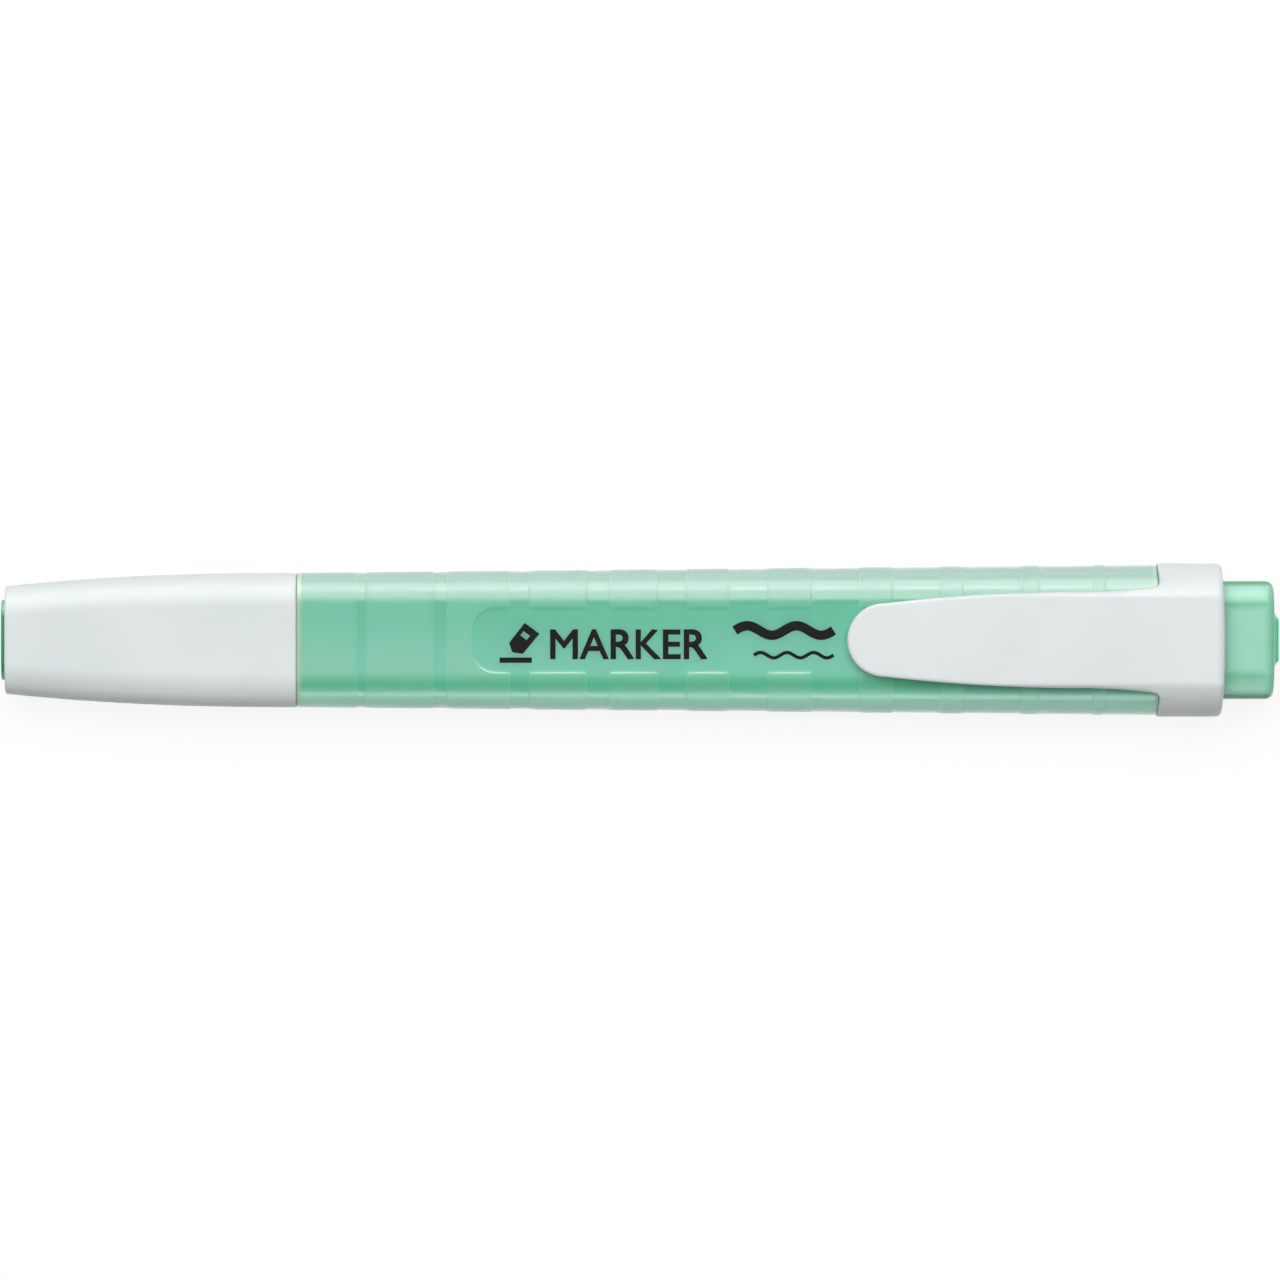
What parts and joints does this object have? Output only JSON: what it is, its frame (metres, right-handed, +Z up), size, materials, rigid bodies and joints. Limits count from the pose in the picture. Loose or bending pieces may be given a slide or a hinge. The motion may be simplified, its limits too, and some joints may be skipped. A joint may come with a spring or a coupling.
{
  "type": "highlighter",
  "caption": "Flat pocket highlighter with a pull-off tapered cap, a translucent banded barrel, a collar with a spring clip, and a plugged tail.",
  "frame": {"origin": "on the surface that the pen lies on, below the middle of its length and width", "axes": "+X along the pen from the cap to the tail, +Y across its width, +Z up out of the face that carries the clip"},
  "size_m": [0.135, 0.0162, 0.0133],
  "materials": {
    "barrel": "translucent mint plastic, frosted on the raised grip bands and glossy in the grooves and on the printing panel",
    "nib_holder": "smooth white moulded plastic",
    "nib": "felt soaked with mint ink",
    "reservoir_core": "fibre bundle soaked with mint ink",
    "reservoir_wrap": "thin clear film",
    "tail_plug": "translucent mint plastic, glossy, with deeper green edges",
    "clip": "satin white moulded plastic",
    "cap": "satin white moulded plastic",
    "cap_liner": "deep green translucent plastic"
  },
  "bodies": {
    "pen": {"barrel": "barrel", "nib_holder": "nib_holder", "nib": "nib", "reservoir_core": "reservoir_core", "reservoir_wrap": "reservoir_wrap", "tail_plug": "tail_plug", "clip_collar": "clip"},
    "cap": {"cap_shell": "cap", "cap_liner": "cap_liner"},
    "clip": {"clip_arm": "clip"}
  },
  "joints": [
    {"name": "cap_slide", "type": "slide", "parent": "pen", "child": "cap", "axis": [-1, 0, 0], "range_m": [0, 0.03]},
    {"name": "clip_flex", "type": "hinge", "parent": "pen", "child": "clip", "pos_m": [0.0549, 0, 0.0126], "axis": [0, 1, 0], "range_deg": [0, 6], "stiffness_Nm_per_rad": 0.5}
  ]
}
